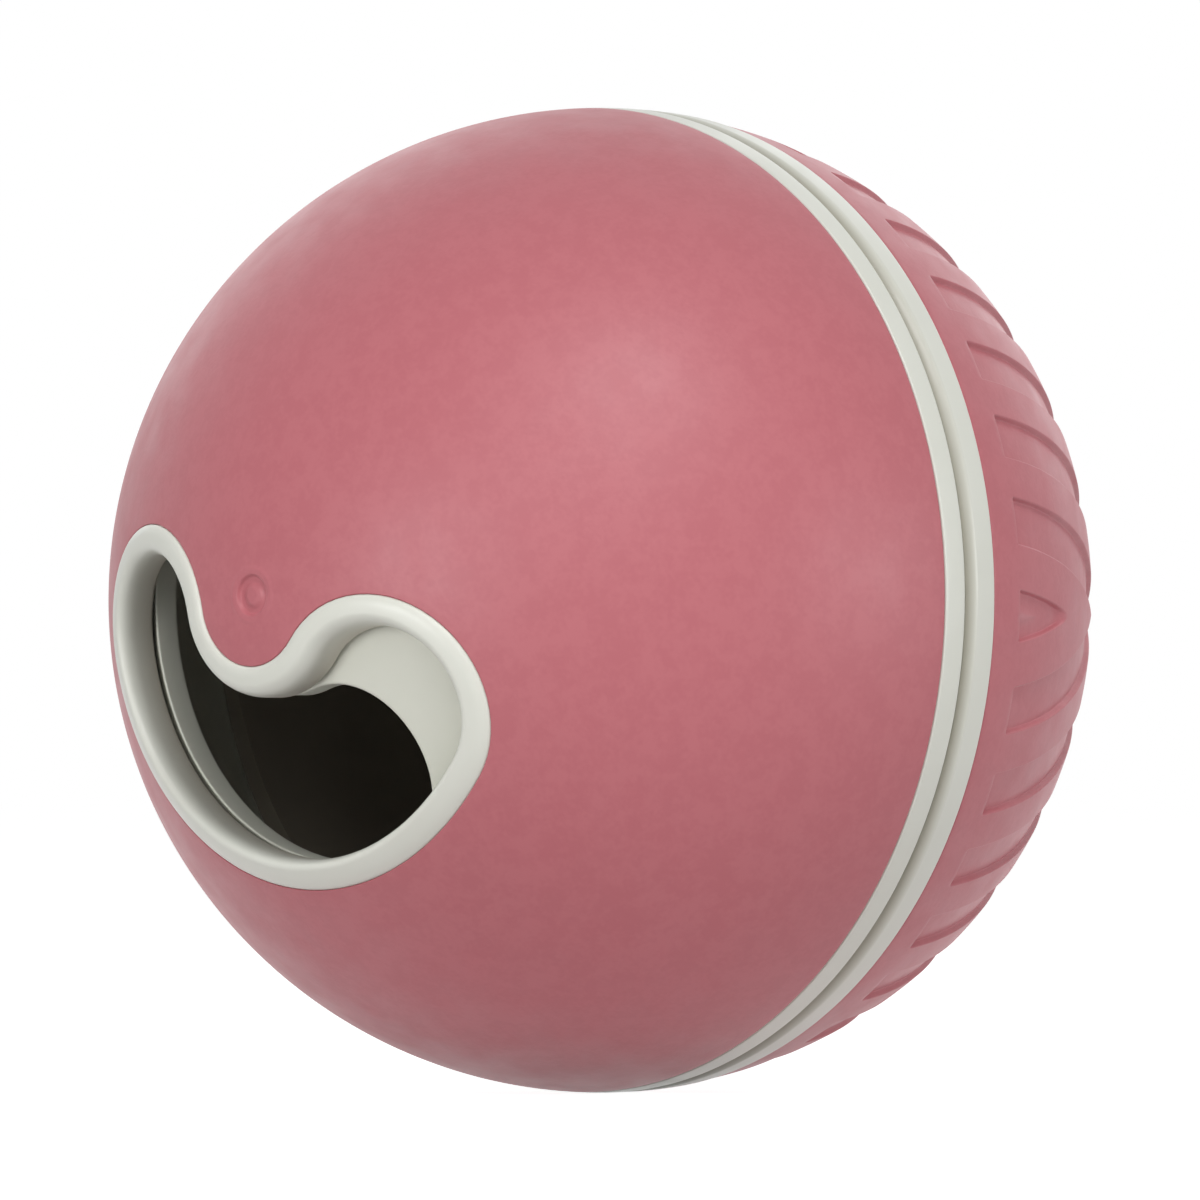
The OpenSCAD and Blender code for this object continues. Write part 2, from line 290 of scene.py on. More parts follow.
def mouldedFinish(name, look, shade=None):
    # colour = blend of the two colours by the mottle, then of that and the painted shade by its fade;
    # roughness = wear spread from low to high; normal = bump of the grain
    finish = Finish(name)
    mottle = finish.noise(look["mottle"], look["octaves"], look["fineShare"])
    share = finish.spread(mottle, 0, 1, *look["mottleSpan"])
    colour = finish.blend(share, look["colour"], look["paler"])
    # a painted shade darkens and warms the colour where shade falls
    if shade:
        colour = finish.blend(finish.fadeFrom(shade), colour, shade["colour"])
    finish.feed("Base Color", colour)
    wear = finish.noise(look["wear"], wearOctaves)
    finish.feed("Roughness", finish.spread(wear, look["roughLow"], look["roughHigh"]))
    grain = finish.noise(look["grain"], grainOctaves)
    finish.feed("Normal", finish.bump(grain, look["grainStrength"], look["grainHeight"]))
    finish.shader.inputs["Specular IOR Level"].default_value = look["specular"]
    return finish.material


softSkin = mouldedFinish("soft touch skin", softTouch)
# the front shell's ivory has painted shade down the opening's tunnel
ivoryTunnelPaintedShade = mouldedFinish("ivory moulding with painted tunnel shade", ivoryGloss, tunnelPaintedShade)
# the rear shell's ivory has painted shade in the seam
ivoryRearSeamPaintedShade = mouldedFinish("ivory rear moulding with painted seam shade", ivoryGloss, seamPaintedShade)
shutterPlastic = mouldedFinish("ivory shutter moulding", shutterGloss)
# painted light: this charcoal is lighter than the moulding's own near-black
darkPlasticWithPaintedLight = mouldedFinish("charcoal moulding with painted light", charcoalWithPaintedLight)
sealRubber = mouldedFinish("grey seal", sealSilicone)
print("finishes made")

# The opening's outline, shared by the skin, the shell and the shutter

opening = {
    "middle": 18.1,  # radius of its middle line
    "rightEnd": -37.7, "sweep": 130.4,  # degrees: where it ends on the right, and how far it runs
    "shift": (-0.6, 0.0),  # its centre's place from the pole, in the shell and the skin
    "still": (3.6, 44.0), "moved": (5.2, 30.9),  # distances from the pole that stay and that shift
    "topColumns": 224, "slotColumns": 136, "endRows": 30,
}


def openingGrid(halfWidth, turnDeg=0.0, shift=(0.0, 0.0)):
    # A polar grid round the pole that leaves the opening out. The ring's columns go the long
    # way over the top from the right end to the left one, and then along the opening. Row psi
    # between the round ends lies sqrt(m^2 + h^2 + 2 m h cos psi) from the pole, and it starts
    # atan(h sin psi / (m + h cos psi)) past each end.
    # An outline point is (middle line point) + h (direction), once round the opening.
    m, h = opening["middle"], halfWidth
    right = math.radians(opening["rightEnd"] + turnDeg)
    left = right + tau - math.radians(opening["sweep"])
    top = np.linspace(right, left, opening["topColumns"] + 1)
    slot = np.linspace(left, right + tau, opening["slotColumns"] + 1)
    psi = np.linspace(math.pi, 0, opening["endRows"] + 1)[:, None]
    rho = np.sqrt(m * m + h * h + 2 * m * h * np.cos(psi))
    past = np.arctan2(h * np.sin(psi), m + h * np.cos(psi))
    share = np.linspace(0, 1, len(top))
    between = (right + past) * (1 - share) + (left - past) * share

    def arcPart(azimuth, sign):
        # a long side: m (cos a, sin a), looking out or in
        outward = np.stack([np.cos(azimuth), np.sin(azimuth)], -1)
        return m * outward, sign * outward

    def endPart(azimuth, angles, sign):
        # a round end: one middle line point, with the directions of a half turn
        outward = np.array([math.cos(azimuth), math.sin(azimuth)])
        along = np.array([-outward[1], outward[0]]) * sign
        way = np.cos(angles) * outward + np.sin(angles) * along
        return np.broadcast_to(m * outward, way.shape), way

    inner = psi[1:-1]
    parts = [arcPart(slot, 1), endPart(right, inner[::-1], 1)]
    parts += [arcPart(slot[::-1], -1), endPart(left, inner, -1)]
    return {
        "ring": np.concatenate([top[:-1], slot[:-1]]),
        "rho": np.broadcast_to(rho, between.shape), "azimuth": between,
        "line": np.concatenate([p[0] for p in parts]), "way": np.concatenate([p[1] for p in parts]),
        "outer": m + h, "inner": m - h, "shift": np.array(shift),
    }


def carryRound(grid, profile):
    # profile points (half width h, ball radius R) go once round the opening's outline:
    # (x, y) = middle line point + h (direction) + shift, z = sqrt(R^2 - x^2 - y^2)
    profile = np.asarray(profile, float)
    flat = grid["line"] + profile[:, :1, None] * grid["way"] + grid["shift"]
    height = np.sqrt(profile[:, 1:] ** 2 - (flat ** 2).sum(-1))
    return np.concatenate([flat, height[..., None]], -1)


def slideAlong(points, grid):
    # (x, y) moves by the opening's shift times near times far, which ease it to nothing at the
    # pole's mark and before the band; z = sqrt(R^2 - x^2 - y^2) keeps the point on its ball
    radius = np.linalg.norm(points, axis=-1)
    rho = np.linalg.norm(points[..., :2], axis=-1)
    stillIn, stillOut = opening["still"]
    movedIn, movedOut = opening["moved"]
    near = easeStep((rho - stillIn) / (movedIn - stillIn))
    far = easeStep((stillOut - rho) / (stillOut - movedOut))
    flat = points[..., :2] + (near * far)[..., None] * grid["shift"]
    height = np.sqrt(np.maximum(radius ** 2 - (flat ** 2).sum(-1), 0)) * np.sign(points[..., 2])
    return np.concatenate([flat, height[..., None]], -1)


def betweenEnds(grid, radius):
    # the sheet above the opening, from one round end to the other
    return slideAlong(onBall(grid["rho"], grid["azimuth"], radius), grid)


# Front skin

mark = {
    "radius": 2.15, "wall": 0.38, "deep": 0.40, "rowsTo": 3.6,
    "riseShare": 0.7, "riseFrom": 1.6, "riseOver": 1.2,
    "rimHigh": 0.05, "rimOut": 0.45, "rimWide": 0.3,
    "curlHigh": 0.09, "curlRadius": 0.95, "curlShift": 0.2, "curlWide": 0.25,
    "curlEven": 0.6, "curlTurn": 0.4,
}
# A half is a distance from the opening's middle line, a round is a corner's radius, and rows,
# lines and columns are counts
skinFront = {
    "radius": ballRadius, "under": 48.24, "sheetHalf": 12.7,
    "edgeHalf": 11.06, "edgeRound": 0.14, "edgeFlat": 0.9,
    "beltTop": 3.9, "bandEdge": 3.12, "bandRound": 0.22,
    "outerRows": 64, "underRows": 16, "markRows": (46, 8), "poleRows": (4, 6),
}


def markLift(rho, azimuth):
    # moulding mark: a round dish with a steep wall and a floor that rises towards the middle,
    # a faint rim hump(rho - radius - out) outside it, and a curl on the floor:
    # hump(rho - radius - shift cos a) times (even + (1 - even) cos(a + turn))
    dish = easeStep((mark["radius"] - rho) / mark["wall"])
    rise = mark["riseShare"] * easeStep((mark["riseFrom"] - rho) / mark["riseOver"])
    rim = mark["rimHigh"] * hump(rho - mark["radius"] - mark["rimOut"], mark["rimWide"])
    curlLine = mark["curlRadius"] + mark["curlShift"] * np.cos(azimuth)
    curlFade = mark["curlEven"] + (1 - mark["curlEven"]) * np.cos(azimuth + mark["curlTurn"])
    curl = mark["curlHigh"] * hump(rho - curlLine, mark["curlWide"]) * curlFade
    return -mark["deep"] * dish * (1 - rise) + rim + curl


def frontSkinPatches(size):
    # the outer ball from the opening to the band, the rounded edge there and the inner ball back,
    # the sheets above the opening, the opening's own edge, and both sheets round the pole
    outer, under, edgeZ = size["radius"], size["under"], size["bandEdge"]
    grid = openingGrid(size["sheetHalf"], shift=opening["shift"])
    ring = grid["ring"]
    profile = ballRows(
        outer, degAtRho(outer, grid["outer"]), degAtZ(outer, size["beltTop"]), size["outerRows"])
    profile += roundOff([
        profile[-1],
        (ringRadius(outer, edgeZ), edgeZ, size["bandRound"]),
        (ringRadius(under, edgeZ), edgeZ),
    ])[1:]
    profile += ballRows(
        under, degAtZ(under, edgeZ), degAtRho(under, grid["outer"]), size["underRows"])[1:]
    edge = roundOff([
        (size["sheetHalf"], under), (size["edgeHalf"], under),
        (size["edgeHalf"], outer, size["edgeRound"]),
        (size["edgeHalf"] + size["edgeFlat"], outer), (size["sheetHalf"], outer),
    ])
    markRho = poleRows(grid["inner"], mark["rowsTo"], *size["markRows"])[:, None]
    poleRho = poleRows(grid["inner"], mark["rowsTo"], *size["poleRows"])[:, None]
    cap = onBall(markRho, ring, outer, 1, markLift(markRho, ring))
    return [
        (slideAlong(revolve(profile, ring), grid), True, False),
        (betweenEnds(grid, outer), False, False),
        (betweenEnds(grid, under), False, True),
        (carryRound(grid, edge), True, False),
        (slideAlong(cap, grid), True, False),
        (slideAlong(onBall(poleRho, ring, under), grid), True, True),
    ]


makePiece("frontSkin", frontSkinPatches(skinFront), softSkin,
          "front_half", "front_skin")

# Front shell with its band and the opening's lip

shellFront = {
    "radius": 48.2, "bore": 46.2, "sheetHalf": 12.4,
    "tunnelHalf": 8.0, "boreRound": 0.3, "tunnelStops": (47.4, 48.1),
    "lipHalf": 11.04, "lipTop": 50.3, "innerRoll": (1.25, 2.1), "outerRoll": (1.15, 0.5),
    "bandTop": 3.06, "bandRound": 0.22, "bandStops": (2.4, 2.1, 1.3, 1.0),
    "rim": 0.25, "rimRound": 0.30, "rimIn": 49.0, "seat": 46.7, "seatDeep": 3.0, "seatBevel": 0.3,
    "outerRows": 30, "boreRows": 30, "rollRows": 12, "poleRows": (4, 6),
}


def lipProfile(size):
    # up the tunnel wall, over the lip on two quarter ellipses, and down beside the skin:
    # half width = tunnel + wide (1 - cos t) and ball radius = top - high (1 - sin t), and then
    # half width = lip - wide (1 - sin t) and ball radius = top - high (1 - cos t)
    t = np.linspace(0, math.pi / 2, size["rollRows"])
    inWide, inHigh = size["innerRoll"]
    outWide, outHigh = size["outerRoll"]
    inner = zip(size["tunnelHalf"] + inWide * (1 - np.cos(t)), size["lipTop"] - inHigh * (1 - np.sin(t)))
    outer = zip(size["lipHalf"] - outWide * (1 - np.sin(t)), size["lipTop"] - outHigh * (1 - np.cos(t)))
    wall = [(size["sheetHalf"], size["bore"]), (size["tunnelHalf"], size["bore"], size["boreRound"])]
    wall += [(size["tunnelHalf"], stop) for stop in size["tunnelStops"]]
    side = [(size["lipHalf"], size["radius"]), (size["sheetHalf"], size["radius"])]
    return roundOff(wall) + list(inner) + list(outer) + side


def frontShellPatches(size):
    # the outer ball from the opening to the band, the band, the rim and the ring's seat, the
    # bore back, the sheets above the opening, its lip, and both sheets round the pole
    outer, bore, rim, bevel = size["radius"], size["bore"], size["rim"], size["seatBevel"]
    bandHigh, bandFrom, bandTo, bandEnd = size["bandStops"]
    grid = openingGrid(size["sheetHalf"], shift=opening["shift"])
    ring = grid["ring"]
    profile = ballRows(
        outer, degAtRho(outer, grid["outer"]), degAtZ(outer, size["bandTop"]), size["outerRows"])
    profile += roundOff([
        profile[-1], (*bandPoint(size["bandTop"]), size["bandRound"]), bandPoint(bandHigh),
    ])[1:]
    profile += bandLine(bandFrom, bandTo)
    profile += roundOff([
        bandPoint(bandEnd), (ballRadius, rim, size["rimRound"]), (size["rimIn"], rim),
        (size["seat"] + bevel, rim), (size["seat"], rim + bevel),
        (size["seat"], size["seatDeep"]), (ringRadius(bore, size["seatDeep"]), size["seatDeep"]),
    ])
    profile += ballRows(
        bore, degAtZ(bore, size["seatDeep"]), degAtRho(bore, grid["outer"]), size["boreRows"])[1:]
    poleRho = poleRows(grid["inner"], mark["rowsTo"], *size["poleRows"])[:, None]
    return [
        (slideAlong(revolve(profile, ring), grid), True, False),
        (betweenEnds(grid, outer), False, False),
        (betweenEnds(grid, bore), False, True),
        (carryRound(grid, lipProfile(size)), True, False),
        (slideAlong(onBall(poleRho, ring, outer), grid), True, False),
        (slideAlong(onBall(poleRho, ring, bore), grid), True, True),
    ]


makePiece("frontShell", frontShellPatches(shellFront), ivoryTunnelPaintedShade,
          "front_half", "front_shell")

# Shutter dome, with the thread in its skirt

shutter = {
    "radius": 45.8, "bore": 43.3, "turn": -32.4,
    "sheetHalf": 9.8, "slotHalf": 8.25, "slotRound": 0.3, "slotFlat": 0.9,
    "domeLow": 4.6, "skirtLow": 3.3, "skirtRound": 0.3, "skirtRim": 1.8,
    "skirtBore": 40.62, "skirtTop": 15.0,
    "grooves": 4, "grooveDeep": 1.4, "grooveMiddle": 12.0, "grooveHalf": 1.63, "grooveWall": 0.3,
    "rise": 32 / 360,  # mm a degree
    "grooveEnd": 6.43, "endFade": 0.4,  # degrees
    "lugIn": 43.32, "lugOut": 45.35, "lugLow": 2.1, "lugSink": 0.4, "lugRound": 0.2,
    "lugMiddle": 90.0, "lugSweep": 8.0,
    "outerRows": 44, "skirtRows": 48, "innerRows": 22, "poleRows": 8,
}


def threadDepth(azimuth, height, size):
    # a groove's middle climbs by rise per degree: off = |z - middle - rise * degrees|; it is
    # full deep within its half height, with eased walls, and stops past the seated lug
    deepest = np.zeros(np.broadcast(azimuth, height).shape)
    wall, fade = size["grooveWall"], size["endFade"]
    for i in range(size["grooves"]):
        turn = (np.degrees(azimuth) - i * 360 / size["grooves"] + 180) % 360 - 180
        off = np.abs(height - size["grooveMiddle"] - size["rise"] * turn)
        inside = easeStep((size["grooveHalf"] + wall / 2 - off) / wall)
        deepest = np.maximum(deepest, inside * easeStep((size["grooveEnd"] + fade / 2 - turn) / fade))
    return size["grooveDeep"] * deepest


def arcBlock(inR, outR, lowZ, highZ, middleDeg, sweepDeg, edge, spans=8, bendShare=0.35):
    # a rounded rectangle of (rho, z) carried along an arc: centre + share (point - centre),
    # where the share falls from 1 to 0 over the last edge length at both ends
    middleR = (inR + outR) / 2
    corners = [(inR, lowZ, edge), (inR, highZ, edge), (outR, highZ, edge), (outR, lowZ, edge)]
    section = np.array(roundOff([(middleR, lowZ), *corners, (middleR, lowZ)], steps=4)[:-1])
    centre = np.array([middleR, (lowZ + highZ) / 2])
    ends, inset = math.radians(sweepDeg / 2), edge / outR
    drawnIn, softened = 1 - 2 * edge / (outR - inR), 1 - edge / (outR - inR)
    tip = [(-ends, 0.0), (-ends, drawnIn), (-ends + inset * bendShare, softened), (-ends + inset, 1.0)]
    stations = tip + [(a, 1.0) for a in np.linspace(-ends + inset, ends - inset, spans + 1)[1:-1]]
    stations += [(-a, share) for a, share in reversed(tip)]
    azimuth, share = np.array(stations).T[..., None]
    rho, height = (centre + (section - centre) * share[..., None]).transpose(2, 0, 1)
    azimuth = azimuth + math.radians(middleDeg)
    return np.stack(np.broadcast_arrays(rho * np.cos(azimuth), rho * np.sin(azimuth), height), -1)


def shutterPatches(size):
    # the dome's outside down to the skirt's edge and up its threaded bore, the dome's inside,
    # the sheets above the slot, the slot's edge, both sheets round the pole, and the stop lug
    outer, bore, low = size["radius"], size["bore"], size["skirtLow"]
    grid = openingGrid(size["sheetHalf"], size["turn"])
    ring = grid["ring"]
    profile = ballRows(
        outer, degAtRho(outer, grid["outer"]), degAtZ(outer, size["domeLow"]), size["outerRows"])
    profile += roundOff([
        profile[-1], (ringRadius(outer, low), low, size["skirtRound"]),
        (size["skirtBore"] + size["skirtRim"], low),
    ])[1:]
    skirt = [(size["skirtBore"], z) for z in np.linspace(low, size["skirtTop"], size["skirtRows"])]
    outside = revolve(profile + skirt, ring)
    deep = threadDepth(ring, np.array(skirt)[:, 1:], size)
    outside[len(profile):, :, :2] *= (1 + deep / size["skirtBore"])[..., None]
    inside = ballRows(
        bore, degAtZ(bore, size["skirtTop"]), degAtRho(bore, grid["outer"]), size["innerRows"])
    edge = roundOff([
        (size["sheetHalf"], bore), (size["slotHalf"], bore, size["slotRound"]),
        (size["slotHalf"], (bore + outer) / 2), (size["slotHalf"], outer, size["slotRound"]),
        (size["slotHalf"] + size["slotFlat"], outer), (size["sheetHalf"], outer),
    ])
    poleRho = np.linspace(0, grid["inner"], size["poleRows"])[:, None]
    lug = arcBlock(size["lugIn"], size["lugOut"], size["lugLow"], low + size["lugSink"],
                   size["lugMiddle"], size["lugSweep"], size["lugRound"])
    return [
        (outside, True, False),
        (revolve(inside, ring), True, False),
        (betweenEnds(grid, outer), False, False),
        (betweenEnds(grid, bore), False, True),
        (carryRound(grid, edge), True, False),
        (onBall(poleRho, ring, outer), True, False),
        (onBall(poleRho, ring, bore), True, True),
        (lug, True, False),
    ]


makePiece("shutterDome", shutterPatches(shutter), shutterPlastic,
          "shutter", "shutter_dome")

# Rear shell with its band and the low tongue inside the seam

shellRear = {
    "radius": 48.05, "bore": 46.05, "seat": 46.7, "seatDeep": -3.35, "seatBevel": 0.3, "rim": -0.25,
    "tongueIn": 47.5, "tongueOut": 48.7, "tongueTop": 0.1, "tongueRound": 0.12,
    "bevelIn": 49.3, "bevelEnd": -1.45, "bevelRound": 0.8,
    "bandStops": (-2.2, -2.5, -3.5, -3.7), "bandLow": -4.26, "bandRound": 0.22,
    "boreRows": 26, "outerRows": 30, "columns": 360,
}


def rearShellPatches(size):
    # one closed profile, once round: the bore from the pole, the flange's seat, the rim with
    # its tongue, the seam's bevel, the band, and the outer ball back to the pole
    outer, bore, rim, bevel = size["radius"], size["bore"], size["rim"], size["seatBevel"]
    bandHigh, bandFrom, bandTo, bandEnd = size["bandStops"]
    profile = ballRows(bore, 180, degAtZ(bore, size["seatDeep"]), size["boreRows"])
    profile += roundOff([
        (size["seat"], size["seatDeep"]), (size["seat"], rim - bevel), (size["seat"] + bevel, rim),
        (size["tongueIn"], rim), (size["tongueIn"], size["tongueTop"], size["tongueRound"]),
        (size["tongueOut"], size["tongueTop"], size["tongueRound"]), (size["tongueOut"], rim),
        (size["bevelIn"], rim), (*bandPoint(size["bevelEnd"]), size["bevelRound"]), bandPoint(bandHigh),
    ])
    profile += bandLine(bandFrom, bandTo)
    profile += roundOff([
        bandPoint(bandEnd), (*bandPoint(size["bandLow"]), size["bandRound"]),
        (ringRadius(outer, size["bandLow"]), size["bandLow"]),
    ])
    profile += ballRows(outer, degAtZ(outer, size["bandLow"]), 180, size["outerRows"])[1:]
    return [(revolve(profile, np.linspace(0, tau, size["columns"], endpoint=False)), True, False)]


makePiece("rearShell", rearShellPatches(shellRear), ivoryRearSeamPaintedShade,
          "rear_half", "rear_shell")

# Rear skin with the grip channels

grip = {
    "radius": 49.83, "under": 48.09, "bandEdge": -4.32, "bandRound": 0.28, "beltTop": -5.1,
    "sectors": 5, "firstDeg": -2.3, "perSide": 3, "width": 4.15, "deep": 0.58, "wall": 0.36,
    "start": -8.8,  # height of the channels' blunt ends
    "boss": 9.0, "disc": 6.0, "tip": 45.7, "tipWall": 1.3,  # distances from the pole
    "wallLines": 9, "wallReach": 0.6, "tipLines": 8, "tipFrom": 0.1, "lineGap": 1.0,
    "startDistances": (0, 0.06, 0.12, 0.18, 0.24, 0.3, 0.36, 0.42, 0.5, 0.7, 1.1),
    "bodyRows": 56, "tipRows": 9, "tipReach": 0.55, "bossRows": 9, "bossReach": (1.2, -0.2),
    "innerRows": 4, "underRows": 16, "beltRows": 8, "markRows": (40, 5),
}
halfSector = math.pi / grip["sectors"]
rimRho = ringRadius(grip["radius"], grip["start"])
offMax = rimRho * math.sin(halfSector)
channelMiddles = (np.arange(grip["perSide"] + 1) + 0.5) * offMax / (grip["perSide"] + 0.5)


def channelDepth(off, rho, height, size):
    # full depth within half a width of a channel's middle line, eased to 0 over the walls, at
    # the blunt ends and the boss round the pole, and at the tip where two sectors' channels meet:
    # deep times the largest channel share times the shares of the blunt ends and the boss
    off = np.broadcast_to(np.abs(off), rho.shape)[..., None]
    each = easeStep(((size["width"] + size["wall"]) / 2 - np.abs(off - channelMiddles)) / size["wall"])
    each[..., -1] = each[..., -1] * easeStep((rho - size["tip"]) / size["tipWall"])
    blunt = easeStep((size["start"] - height) / size["wall"])
    boss = easeStep((rho - size["boss"]) / size["wall"])
    return size["deep"] * each.max(-1) * blunt * boss


def channelLines(size):
    # distances from a sector's middle line, to a tenth of a micron: close together on every wall
    # and at the outermost channel's tip, wider between
    walls = np.concatenate([channelMiddles - size["width"] / 2, channelMiddles + size["width"] / 2])
    reach = size["wallReach"]
    close = (walls[:, None] + size["wall"] * np.linspace(-reach, reach, size["wallLines"])).ravel()
    tip = size["tip"] + size["tipWall"] * np.linspace(size["tipFrom"], 1, size["tipLines"])
    stops = np.sort(np.concatenate([[0.0], close, tip * math.sin(halfSector), [offMax]]))
    stops = stops[(stops >= 0) & (stops <= offMax)]
    half = [np.array([size["disc"] * math.sin(halfSector)])]
    for a, b in zip(stops[:-1], stops[1:]):
        half.append(np.linspace(a, b, max(2, math.ceil((b - a) / size["lineGap"]) + 1))[:-1])
    half = np.append(np.unique(np.round(np.concatenate(half), 4)), offMax)
    return np.concatenate([-half[:0:-1], half])


def sectorRows(size):
    # distances from the pole: close together at the blunt ends, the tip and the boss
    radius, reach = size["radius"], size["tipReach"] * size["tipWall"]
    start = radius * np.sin(math.asin(rimRho / radius) - np.array(size["startDistances"]) / radius)
    boss = size["boss"] + size["wall"] * np.linspace(*size["bossReach"], size["bossRows"])
    even = np.linspace(np.arcsin(start[-1] / radius), np.arcsin(boss[0] / radius), size["bodyRows"])
    body = radius * np.sin(even)[1:]
    tip = size["tip"] + size["tipWall"] * np.linspace(0, 1, size["tipRows"])
    body = body[np.abs(body - tip.mean()) > reach]
    body = np.sort(np.concatenate([body, tip]))[::-1]
    inner = np.linspace(boss[-1], size["disc"], size["innerRows"])[1:]
    return np.concatenate([start, body, boss[1:], inner])


gripLines = channelLines(grip)
gripRows = sectorRows(grip)
sectorMiddles = math.radians(grip["firstDeg"]) + halfSector * (2 * np.arange(grip["sectors"]) + 1)


def sectorPatch(middle, size):
    # lines parallel to the sector's middle line run in from the rim, at azimuth
    # middle + asin(off / rho), and each ends at the sector's edge: rho >= off / sin(half sector)
    rho = np.maximum(np.maximum(gripRows[:, None], np.abs(gripLines) / math.sin(halfSector)), size["disc"])
    rho = np.minimum(rho, rimRho)
    azimuth = middle + np.arcsin(np.clip(gripLines / rho, -1, 1))
    lift = -channelDepth(gripLines, rho, -np.sqrt(size["radius"] ** 2 - rho ** 2), size)
    return onBall(rho, azimuth, size["radius"], -1, lift), False, False


def sectorColumns(rho):
    # azimuths middle + asin(off / rho) of the lines that cross a ring, once round all sectors
    inside = gripLines[np.abs(gripLines) <= rho * math.sin(halfSector) + slack]
    turn = np.arcsin(np.clip(inside / rho, -1, 1))[:-1]
    return (sectorMiddles[:, None] + turn).ravel()


def rearSkinPatches(size):
    # the inner ball from the pole, the rounded edge at the band and the plain belt, then the
    # sectors with their channels, and the boss with the moulding mark
    outer, under, edgeZ = size["radius"], size["under"], size["bandEdge"]
    profile = ballRows(under, 180, degAtZ(under, edgeZ), size["underRows"])
    profile += roundOff([
        profile[-1], (ringRadius(outer, edgeZ), edgeZ, size["bandRound"]),
        (ringRadius(outer, size["beltTop"]), size["beltTop"]),
    ])[1:]
    profile += ballRows(
        outer, degAtZ(outer, size["beltTop"]), 180 - degAtRho(outer, rimRho), size["beltRows"])[1:]
    discRing = sectorColumns(size["disc"])
    discRho = poleRows(size["disc"], mark["rowsTo"], *size["markRows"])[::-1][:, None]
    return [
        (revolve(profile, sectorColumns(rimRho)), True, False),
        *[sectorPatch(middle, size) for middle in sectorMiddles],
        (onBall(discRho, discRing, outer, -1, markLift(discRho, discRing)), True, False),
    ]


makePiece("rearSkin", rearSkinPatches(grip), softSkin,
          "rear_half", "rear_skin")

# Pieces that stay as CAD solids

# the cup and the retaining ring wear the lightened charcoal, painted light for the dim inside
innerFinishes = {"treat_cup": darkPlasticWithPaintedLight, "retaining_ring": darkPlasticWithPaintedLight, "seal_ring": sealRubber}
for node, finish in innerFinishes.items():
    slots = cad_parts[node].data.materials
    slots.clear()
    slots.append(finish)
print("inner pieces dressed")

# Floor, light and camera

studio = {
    "floorLevel": -0.05, "floorHalf": 6.0, "floorColour": (0.66, 0.66, 0.66), "floorGlow": 0.92,
    "skyStrength": 0.12,
    # across, up and near in the camera's directions, then distance, size and power
    "lamps": {
        "keyLamp": (0.143, 0.769, 0.62, 0.9, 0.36, 2.4),
        "leftLamp": (-0.66, 0.10, 0.745, 1.0, 0.38, 3.65),
        "rightLamp": (0.896, 0.034, 0.445, 1.0, 0.46, 3.7),
        "frontLamp": (-0.05, 0.56, 0.83, 2.0, 1.60, 14.0),
        "backRightLamp": (0.45, 0.45, -0.95, 1.0, 0.60, 1.0),
        "backLeftLamp": (-0.40, 0.50, -0.95, 1.0, 0.60, 0.8),
    },
}


def backgroundRays(tree):
    # 1 for camera, glossy and transmission rays, 0 for the light that falls on the ball
    ray = tree.nodes.new("ShaderNodeLightPath")
    found = ray.outputs["Is Camera Ray"]
    for name in ("Is Glossy Ray", "Is Transmission Ray"):
        either = tree.nodes.new("ShaderNodeMath")
        either.operation = "MAXIMUM"
        tree.links.new(found, either.inputs[0])
        tree.links.new(ray.outputs[name], either.inputs[1])
        found = either.outputs[0]
    return found


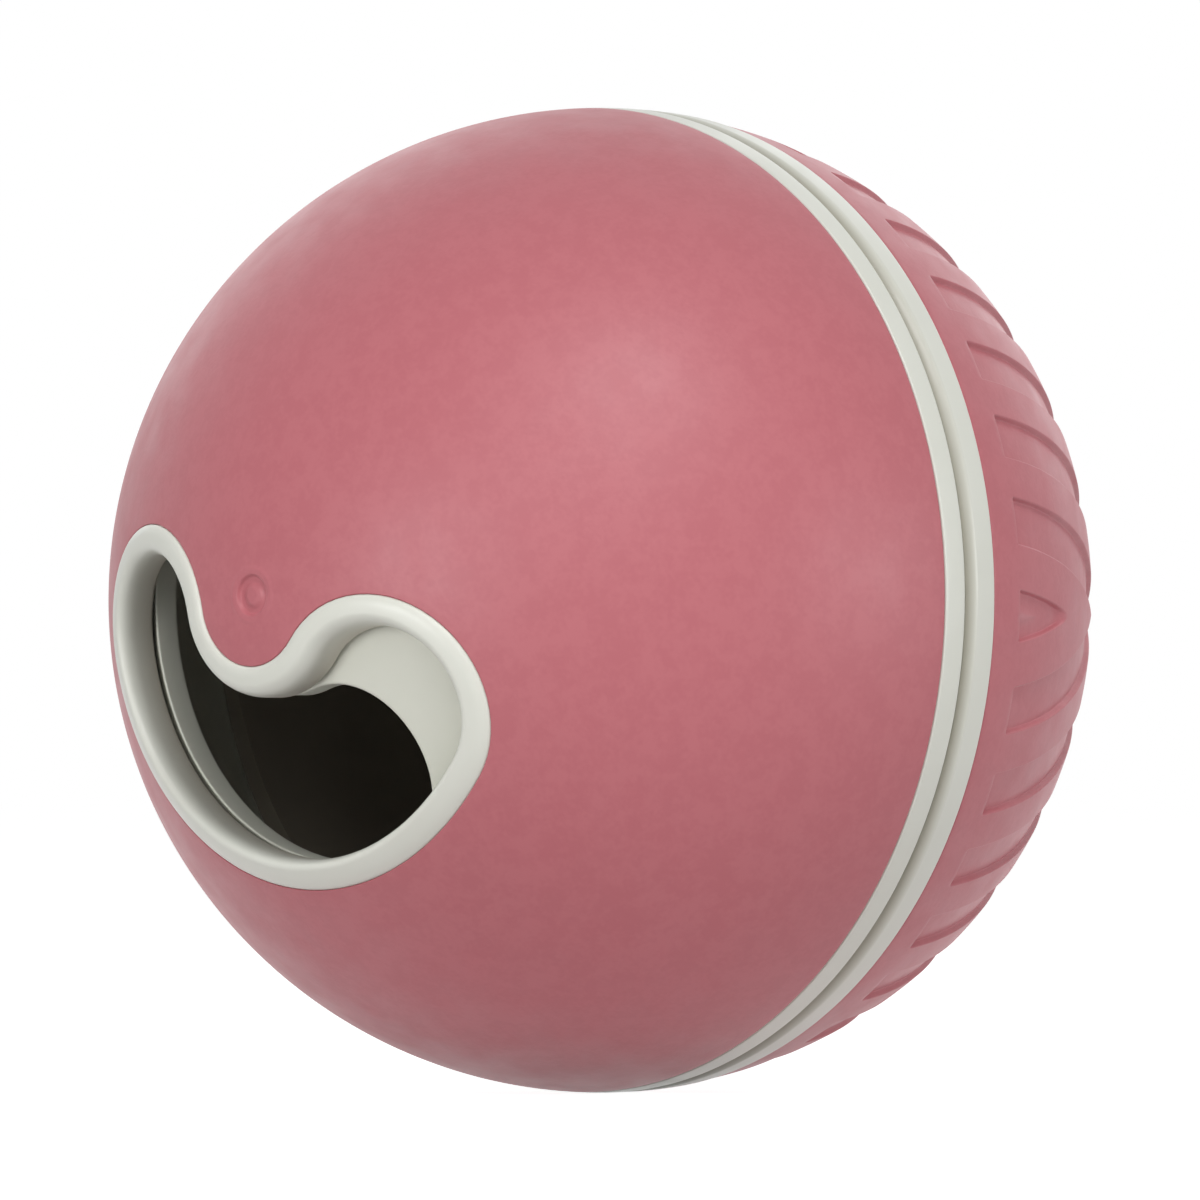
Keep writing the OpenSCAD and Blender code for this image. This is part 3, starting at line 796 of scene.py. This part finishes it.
def paleFloor():
    # a square with a plain diffuse colour, to which the background rays add a plain glow
    side, level = studio["floorHalf"], studio["floorLevel"]
    corners = [(x * side, y * side, level) for x, y in ((-1, -1), (1, -1), (1, 1), (-1, 1))]
    mesh = bpy.data.meshes.new("floor")
    mesh.from_pydata(corners, [], [(0, 1, 2, 3)])
    look = bpy.data.materials.new("pale floor")
    look.use_nodes = True
    tree = look.node_tree
    tree.nodes.clear()
    diffuse = tree.nodes.new("ShaderNodeBsdfDiffuse")
    diffuse.inputs["Color"].default_value = (*studio["floorColour"], 1)
    glow = tree.nodes.new("ShaderNodeEmission")
    strength = tree.nodes.new("ShaderNodeMath")
    strength.operation = "MULTIPLY"
    strength.inputs[1].default_value = studio["floorGlow"]
    both = tree.nodes.new("ShaderNodeAddShader")
    surface = tree.nodes.new("ShaderNodeOutputMaterial").inputs["Surface"]
    tree.links.new(backgroundRays(tree), strength.inputs[0])
    tree.links.new(strength.outputs[0], glow.inputs["Strength"])
    tree.links.new(diffuse.outputs[0], both.inputs[0])
    tree.links.new(glow.outputs[0], both.inputs[1])
    tree.links.new(both.outputs[0], surface)
    mesh.materials.append(look)
    floor = bpy.data.objects.new("floor", mesh)
    bpy.context.scene.collection.objects.link(floor)


def paleSky():
    # white for the background rays, and a faint white light for the rest
    world = bpy.data.worlds.new("studio")
    bpy.context.scene.world = world
    world.use_nodes = True
    tree = world.node_tree
    sky = tree.nodes["Background"]
    sky.inputs["Color"].default_value = (1, 1, 1, 1)
    strength = tree.nodes.new("ShaderNodeMapRange")
    strength.inputs["To Min"].default_value = studio["skyStrength"]
    strength.inputs["To Max"].default_value = 1.0
    tree.links.new(backgroundRays(tree), strength.inputs["Value"])
    tree.links.new(strength.outputs["Result"], sky.inputs["Strength"])


paleFloor()
paleSky()

view = {
    "azimuth": 43.6, "elevation": -0.81, "distance": 1.2,
    "lens": 354.4, "sensor": 36.0, "shift": (-0.00075, 0.00017),
}
turn, rise = math.radians(view["azimuth"]), math.radians(view["elevation"])
towards = np.array([math.sin(turn) * math.cos(rise), -math.cos(turn) * math.cos(rise), math.sin(rise)])
acrossView = np.array([math.cos(turn), math.sin(turn), 0])
upView = np.cross(towards, acrossView)


def aimAtBall(thing, place):
    # puts a lamp or the camera into the scene, looking at the ball's centre with its top upwards
    thing.location = place
    thing.rotation_euler = (-Vector(place)).to_track_quat("-Z", "Y").to_euler()
    bpy.context.scene.collection.objects.link(thing)


def softLamp(name, sideways, up, near, distance, size, power):
    # a square lamp at distance times the unit vector of (sideways, up, near), aimed at the ball
    data = bpy.data.lights.new(name, "AREA")
    data.shape, data.size, data.energy = "SQUARE", size, power
    way = sideways * acrossView + up * upView + near * towards
    aimAtBall(bpy.data.objects.new(name, data), way / np.linalg.norm(way) * distance)


for name, settings in studio["lamps"].items():
    softLamp(name, *settings)

cameraData = bpy.data.cameras.new("camera")
cameraData.lens, cameraData.sensor_width = view["lens"], view["sensor"]
cameraData.shift_x, cameraData.shift_y = view["shift"]
camera = bpy.data.objects.new("camera", cameraData)
aimAtBall(camera, towards * view["distance"])
bpy.context.scene.camera = camera
bpy.context.scene.view_settings.view_transform = "Standard"
print("floor, light and camera set")
